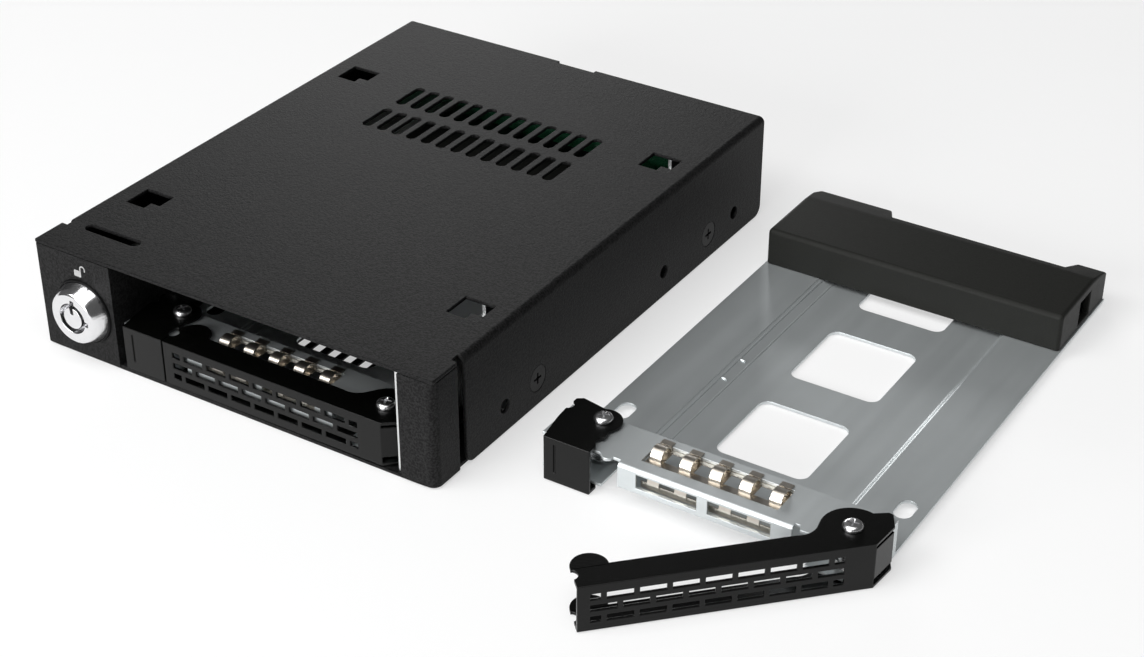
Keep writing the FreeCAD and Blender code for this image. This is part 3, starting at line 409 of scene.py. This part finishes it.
def has_room(edge, reach):
    """Whether every edge that leaves the ends of this one sideways is longer than the reach."""
    along = (edge.verts[1].co - edge.verts[0].co).normalized()
    for vert in edge.verts:
        for other in vert.link_edges:
            if other is not edge:
                away = other.other_vert(vert).co - vert.co
                if away.length < reach and abs(away.normalized().dot(along)) < RUNS_ON:
                    return False
    return True


def bevel(mesh, edges, width, segments=2, clamp=False):
    """Round edges by a width in millimetres."""
    bmesh.ops.bevel(mesh, geom=edges, offset=width * MM, offset_type="OFFSET", affect="EDGES",
                    segments=segments, profile=0.5, material=-1, clamp_overlap=clamp)


def ease(mesh, width):
    """Round the steep edges that have room for this width, all inside the piece's own box."""
    low, high = [Vector([pick(vert.co[axis] for vert in mesh.verts) for axis in range(3)])
                 for pick in (min, max)]
    edges = [edge for edge in mesh.edges if len(edge.link_faces) == 2
             and edge.calc_face_angle(0) > STEEP and has_room(edge, ROOM * width * MM)]
    bevel(mesh, edges, width)
    for vert in mesh.verts:
        vert.co = [min(max(vert.co[axis], low[axis]), high[axis]) for axis in range(3)]
    return len(edges)


def finish_piece(name, mesh, slot, body, replaces=(), material=None):
    """Turn a bmesh into an object with its finish, riding on its body."""
    for face in mesh.faces:
        face.smooth = True
    for edge in mesh.edges:
        edge.smooth = len(edge.link_faces) == 2 and edge.calc_face_angle(0) < SMOOTH
    data = bpy.data.meshes.new(name)
    mesh.to_mesh(data)
    mesh.free()
    piece = bpy.data.objects.new(name, data)
    scene.collection.objects.link(piece)
    data.materials.append(material or FINISHES[slot])
    even = piece.modifiers.new("even_normals", "WEIGHTED_NORMAL")
    even.keep_sharp, even.weight = True, 100
    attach(piece, body)
    if replaces:
        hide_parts(*replaces)
    print("%-30s %5d faces on %s" % (name, len(data.polygons), body))


# %% [markdown]
# A table of edge widths is enough to dress most of the pieces. The thick moulding of the rear caps
# gets the widest edge and the spring strip the narrowest. The lock's key notches stand at the top and
# at the right, so its housing and its plug are also turned about their axis.

# %% Ordinary pieces
EDGES = {"top_cover": 0.2, "base_chassis": 0.2, "guide_rail": 0.15, "rear_cap": 0.35, "lever": 0.17,
         "latch": 0.17, "lock_housing": 0.15, "lock_core": 0.1, "lock_collar": 0.05, "lock_nut": 0.2,
         "lock_cam": 0.15, "cam_screw": 0.2, "cover_screws": 0.06, "contact_strip": 0.03,
         "pivot_posts": 0.08, "backplane_board": 0.05, "drive_socket_lower": 0.12,
         "drive_socket_upper": 0.12, "data_port_1": 0.12, "data_port_2": 0.12, "power_port": 0.12,
         "backplane_screws": 0.2}
LOCK_TURNS = {"lock_housing": 185, "lock_core": 85}
lock_low, lock_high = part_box("lock_housing")
lock_centre = (lock_low + lock_high) / 2


def turn_about_lock(mesh, degrees):
    """Turn a round lock piece about the lock's own axis, to set where its key notches stand."""
    bmesh.ops.rotate(mesh, verts=mesh.verts, cent=lock_centre,
                     matrix=Matrix.Rotation(math.radians(degrees), 3, "Y"))


for node in sorted(nodes):
    width = next((size for key, size in EDGES.items() if node.endswith(key)), None)
    if width:
        mesh = copy_of(node)
        print("%d edges eased by %.2f mm" % (ease(mesh, width), width))
        if node in LOCK_TURNS:
            turn_about_lock(mesh, LOCK_TURNS[node])
        finish_piece(node + "_dressed", mesh, slot_of[node], body_of[node], [node])

# %% [markdown]
# ## Tray pans
#
# Each pan is pressed in one stroke, so its bends have a soft radius, and two small ridges are
# coined across the left ramp. The bends lie along the tray, where a wider bevel rounds them; the
# ridges are flattened balls sunk in the ramp. The press also leaves fine drawn lines beside the
# bends, which are thin rods sunk until only their backs stand out.

# %% Pressed pans with coined ridges
BAND = 9.5                                     # the boxed front, where no line is drawn
LINES, LINE_R = ((13.5, 1.58), (14.4, 1.35), (16.7, 0.6)), 0.28      # across and up
RIDGES, RIDGE_SHAPE = (48.5, 56.7), (0.95, 0.32, 0.42)               # along, half sizes
RIDGE_START = Vector((15.0, -1.0, 1.15))       # from the pan's lowest corner
BEND_ANGLES, BEND_LENGTH, BEND_ROUND = (10, 60), 60, 0.35            # degrees, least length, width
for tray in ("lower", "spare"):
    node = tray + "_tray_pan"
    mesh = copy_of(node)
    low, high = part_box(node)
    long_bends = [edge for edge in mesh.edges if len(edge.link_faces) == 2
                  and BEND_ANGLES[0] < math.degrees(edge.calc_face_angle(0)) < BEND_ANGLES[1]
                  and edge.calc_length() > BEND_LENGTH * MM]
    bevel(mesh, long_bends, BEND_ROUND, segments=4, clamp=True)
    ease(mesh, 0.1)
    for across, up in LINES:
        middle = Vector((low.x + across * MM, (low.y + high.y + BAND * MM) / 2, low.z + up * MM))
        place = Matrix.Translation(middle) @ Matrix.Rotation(math.pi / 2, 4, "X")
        bmesh.ops.create_cone(mesh, cap_ends=True, segments=14, radius1=LINE_R * MM,
                              radius2=LINE_R * MM, depth=high.y - low.y - BAND * MM, matrix=place)
    for along in RIDGES:
        ball = bmesh.ops.create_uvsphere(mesh, u_segments=20, v_segments=12, radius=MM)["verts"]
        bmesh.ops.scale(mesh, vec=RIDGE_SHAPE, verts=ball)
        centre = low + (RIDGE_START + Vector((0, along, 0))) * MM
        bmesh.ops.translate(mesh, vec=centre, verts=ball)
    finish_piece(node + "_pressed", mesh, "bare_steel", body_of[node], [node])

# %% [markdown]
# ## Cross-head screws
#
# The pivot screws are the brightest spots of the trays, so their heads are made in full: a domed
# skirt grown ring by ring from a circle, and a tapered cross sunk in the crown. The cross starts as a
# three by three grid without its corners, and the crown is filled between it and the last ring.

# %% Domed heads with a cross recess
HEAD_R, HEAD_HEIGHT, SHANK_R, SHANK_LENGTH = 2.0, 1.1, 1.15, 3.0
DOME = ((1.0, 0.34), (0.965, 0.52), (0.89, 0.72), (0.77, 0.88), (0.64, 0.97))  # radius, height
CROSS_REACH, CROSS_HALF, CROSS_DEPTH, CROSS_TAPER = 1.12, 0.2, 0.75, 0.55
WELD = 0.001 * MM


def grow_ring(mesh, edges, radius, height, centre):
    """Extrude a ring of edges to a new radius and height about a centre."""
    grown = bmesh.ops.extrude_edge_only(mesh, edges=edges)["geom"]
    verts = [item for item in grown if isinstance(item, bmesh.types.BMVert)]
    for vert in verts:
        flat = Vector((vert.co.x - centre.x, vert.co.y - centre.y, 0)).normalized() * radius
        vert.co = Vector((centre.x, centre.y, height)) + flat
    return [item for item in grown if isinstance(item, bmesh.types.BMEdge) and item.is_boundary]


def cross_recess(mesh, centre, height, turn):
    """A tapered cross sunk from a height; returns the edges of its outline."""
    grid = bmesh.ops.create_grid(mesh, x_segments=3, y_segments=3, size=1.0)["verts"]
    corners = [vert for vert in grid if min(abs(vert.co.x), abs(vert.co.y)) > 0.9]
    bmesh.ops.delete(mesh, geom=corners, context="VERTS")
    grid = [vert for vert in grid if vert.is_valid]
    for vert in grid:
        vert.co = Vector([math.copysign(CROSS_REACH if abs(value) > 0.9 else CROSS_HALF, value)
                          for value in vert.co.xy] + [0]) * MM
    bmesh.ops.rotate(mesh, verts=grid, matrix=Matrix.Rotation(turn, 3, "Z"))
    bmesh.ops.translate(mesh, verts=grid, vec=(centre.x, centre.y, height))
    faces = once(face for vert in grid for face in vert.link_faces)
    outline = [edge for edge in once(edge for face in faces for edge in face.edges)
               if len(edge.link_faces) == 1]
    sunk = bmesh.ops.extrude_face_region(mesh, geom=faces)["geom"]
    bmesh.ops.delete(mesh, geom=faces, context="FACES")
    floor_verts = [item for item in sunk if isinstance(item, bmesh.types.BMVert)]
    bmesh.ops.translate(mesh, verts=floor_verts, vec=(0, 0, -CROSS_DEPTH * MM))
    bmesh.ops.scale(mesh, vec=(CROSS_TAPER, CROSS_TAPER, 1), verts=floor_verts,
                    space=Matrix.Translation((-centre.x, -centre.y, 0)))
    return outline


def cross_head(mesh, centre, seat, crown, turn):
    """A pan-head screw with its shank, standing on a seat height."""
    stand = Matrix.Translation((centre.x, centre.y, seat))
    rim = bmesh.ops.create_circle(mesh, segments=40, radius=HEAD_R * MM, matrix=stand)["verts"]
    ring = once(edge for vert in rim for edge in vert.link_edges)
    under = grow_ring(mesh, ring, SHANK_R * MM, seat, centre)
    shank = grow_ring(mesh, under, SHANK_R * MM, seat - SHANK_LENGTH * MM, centre)
    bmesh.ops.edgeloop_fill(mesh, edges=shank)
    for share, level in DOME:
        ring = grow_ring(mesh, ring, HEAD_R * MM * share, seat + (crown - seat) * level, centre)
    outline = cross_recess(mesh, centre, crown - 0.01 * MM, turn)
    bmesh.ops.triangle_fill(mesh, edges=ring + outline, use_beauty=True)


for tray, turns in (("lower", (0.35, 1.1)), ("spare", (0.2, 0.6))):
    node = tray + "_pivot_screws"
    low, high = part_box(node)
    inset, seat = HEAD_R * MM, high.z - HEAD_HEIGHT * MM
    spots = [Vector((high.x - inset, low.y + inset, 0)), Vector((low.x + inset, high.y - inset, 0))]
    mesh = bmesh.new()
    for spot, turn in zip(spots, turns):
        cross_head(mesh, spot, seat, high.z, turn)
    bmesh.ops.remove_doubles(mesh, verts=mesh.verts, dist=WELD)
    bmesh.ops.recalc_face_normals(mesh, faces=mesh.faces)
    finish_piece(node + "_domed", mesh, "bright_screws", body_of[node], [node])

# %% [markdown]
# ## Torsion springs
#
# The CAD stands a plain sleeve in for each spring. The real one is a few close turns of wire, which
# Spin makes when it also climbs a little at every step.

# %% Wound springs
WIRE_R, PITCH, STEPS = 0.24, 2.04, 28       # the pitch in wire radii, the steps in one turn
for tray in ("lower", "spare"):
    for part in ("lever", "latch"):
        node = "%s_%s_spring" % (tray, part)
        low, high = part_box(node)
        centre, wire = (low + high) / 2, WIRE_R * MM
        turns = (high.z - low.z - 2 * wire) / (PITCH * wire)
        steps = round(STEPS * turns)
        mesh = bmesh.new()
        start = Matrix.Translation((high.x - wire, centre.y, low.z + wire))
        end = bmesh.ops.create_circle(mesh, cap_ends=True, segments=8, radius=wire,
                                      matrix=start @ Matrix.Rotation(math.pi / 2, 4, "X"))["verts"]
        geometry = end + once(edge for vert in end for edge in vert.link_edges)
        geometry += once(face for vert in end for face in vert.link_faces)
        bmesh.ops.spin(mesh, geom=geometry, cent=centre, axis=(0, 0, 1), angle=2 * math.pi * turns,
                       steps=steps, dvec=(0, 0, PITCH * wire * turns / steps), use_duplicate=False)
        bmesh.ops.recalc_face_normals(mesh, faces=mesh.faces)
        finish_piece(node + "_wound", mesh, "bright_screws", body_of[node], [node])

# %% [markdown]
# ## Open-padlock sign
#
# The sign printed above the lock is a plain pictogram of an open padlock. It is a wafer of ink: a
# bevelled block for the body, and a shackle spun through half a turn beside it, with one leg free.

# %% Printed pictogram
INK_THICK, BLOCK_WIDE, BLOCK_TALL, BLOCK_ROUND = 0.03, 1.9, 1.5, 0.25
BOW_R, BOW_WIDE, LOCKED_LEG, FREE_LEG = 0.62, 0.3, 0.75, 0.5
sign = Vector((lock_centre.x - 0.5 * MM, cage_low.y - 0.01 * MM, lock_centre.z + 9.0 * MM))
mesh = bmesh.new()
block = Matrix.Diagonal((BLOCK_WIDE * MM, INK_THICK * MM, BLOCK_TALL * MM, 1))
bmesh.ops.create_cube(mesh, size=1.0, matrix=Matrix.Translation(sign) @ block)
corners = [edge for edge in mesh.edges if abs(edge.verts[0].co.y - edge.verts[1].co.y) > 0.01 * MM]
bevel(mesh, corners, BLOCK_ROUND, segments=3)
hinge = sign + Vector((1.45, 0, 1.35)) * MM
leg = Matrix.Diagonal((BOW_WIDE * MM, INK_THICK * MM, 1, 1))
leg = Matrix.Translation(hinge + Vector((BOW_R, 0, 0)) * MM) @ leg
profile = bmesh.ops.create_grid(mesh, x_segments=1, y_segments=1, size=0.5, matrix=leg)["verts"]
free_end = once(face for vert in profile for face in vert.link_faces)
sides = once(edge for face in free_end for edge in face.edges)
bow = bmesh.ops.spin(mesh, geom=profile + free_end + sides, cent=hinge, axis=(0, -1, 0),
                     angle=math.pi, steps=14, use_duplicate=False)["geom_last"]
locked_end = [item for item in bow if isinstance(item, bmesh.types.BMFace)]
for end, reach in ((free_end, FREE_LEG), (locked_end, LOCKED_LEG)):
    grown = bmesh.ops.extrude_face_region(mesh, geom=end)["geom"]
    moved = [item for item in grown if isinstance(item, bmesh.types.BMVert)]
    bmesh.ops.translate(mesh, verts=moved, vec=(0, 0, -reach * MM))
bmesh.ops.remove_doubles(mesh, verts=mesh.verts, dist=WELD)
bmesh.ops.recalc_face_normals(mesh, faces=mesh.faces)
finish_piece("padlock_sign", mesh, "black_powder_coat", "chassis", material=INK)

# %% [markdown]
# ## Gilded contacts
#
# Behind the bay each socket holds two groups of gilded leaves, and the cable ports have theirs. A
# leaf is a thin bar, copied at the connector's pitch, so a row is a loop.

# %% Rows of leaves
LEAF_PITCH, LEAF_WIDE, LEAF_THICK = 1.27, 0.5, 0.12
SOCKET_LEAF, SOCKET_START, NEXT_GROUP = 3.4, Vector((3.6, 0.4, 1.52)), Vector((13.2, 0, 0))
PORT_LEAF, PORT_START = 2.2, Vector((3.6, -3.6, 4.82))


def bar(mesh, low, high):
    """A box between two corners given as vectors in metres."""
    size = high - low
    place = Matrix.Translation((low + high) / 2) @ Matrix.Diagonal((size.x, size.y, size.z, 1))
    bmesh.ops.create_cube(mesh, size=1.0, matrix=place)


def leaf_row(mesh, start, count, length):
    """Flat contacts side by side, each lying along Y."""
    for index in range(count):
        corner = start + Vector((index * LEAF_PITCH, 0, 0)) * MM
        bar(mesh, corner, corner + Vector((LEAF_WIDE, length, LEAF_THICK)) * MM)


mesh = bmesh.new()
for socket in ("drive_socket_lower", "drive_socket_upper"):
    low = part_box(socket)[0]
    leaf_row(mesh, low + SOCKET_START * MM, 7, SOCKET_LEAF)
    leaf_row(mesh, low + (SOCKET_START + NEXT_GROUP) * MM, 15, SOCKET_LEAF)
for port, count in (("data_port_1", 7), ("data_port_2", 7), ("power_port", 12)):
    low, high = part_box(port)
    leaf_row(mesh, Vector((low.x, high.y, low.z)) + PORT_START * MM, count, PORT_LEAF)
finish_piece("gilded_leaves", mesh, "nickel_strip", "chassis", material=GOLD)

# %% [markdown]
# ## Chips and capacitors
#
# The board carries the usual few chips between its ports and a row of small capacitors above them.
# They are bars again, listed by their place on the board and their size, with eased edges.

# %% Board parts
BOARD_PARTS = [(-36.3, 9.0, 5.0, 5.0, 1.0), (-13.0, 10.0, 3.2, 4.2, 1.2),
               (9.6, 9.5, 2.6, 5.0, 1.4), (38.2, 8.5, 3.8, 5.6, 1.6)]
BOARD_PARTS += [(across, 18.2, 2.0, 1.2, 0.8) for across in (-22, -18.5, 0, 3.5, 20, 24, 28)]
board_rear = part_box("backplane_board")[1].y
mesh = bmesh.new()
for across, up, wide, tall, thick in BOARD_PARTS:
    corner = Vector(((across - wide / 2) * MM, board_rear, up * MM))
    bar(mesh, corner, corner + Vector((wide, thick, tall)) * MM)
ease(mesh, 0.12)
finish_piece("board_parts", mesh, "connector_plastic", "chassis")

# %% [markdown]
# ## Strip flanges
#
# A narrow flange joins the feet of the spring strip's tabs behind each tray's windows. It is flat and
# straight, so one bar placed from the pan's box is enough.

# %% Flanges behind the windows
FLANGE_START, FLANGE = Vector((-13.2, 1.6, 4.5)), Vector((28.4, 0.25, 1.3))
for tray in ("lower", "spare"):
    low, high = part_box(tray + "_tray_pan")
    corner = Vector(((low.x + high.x) / 2, low.y, low.z)) + FLANGE_START * MM
    mesh = bmesh.new()
    bar(mesh, corner, corner + FLANGE * MM)
    finish_piece(tray + "_strip_flange", mesh, "nickel_strip", tray + "_tray")
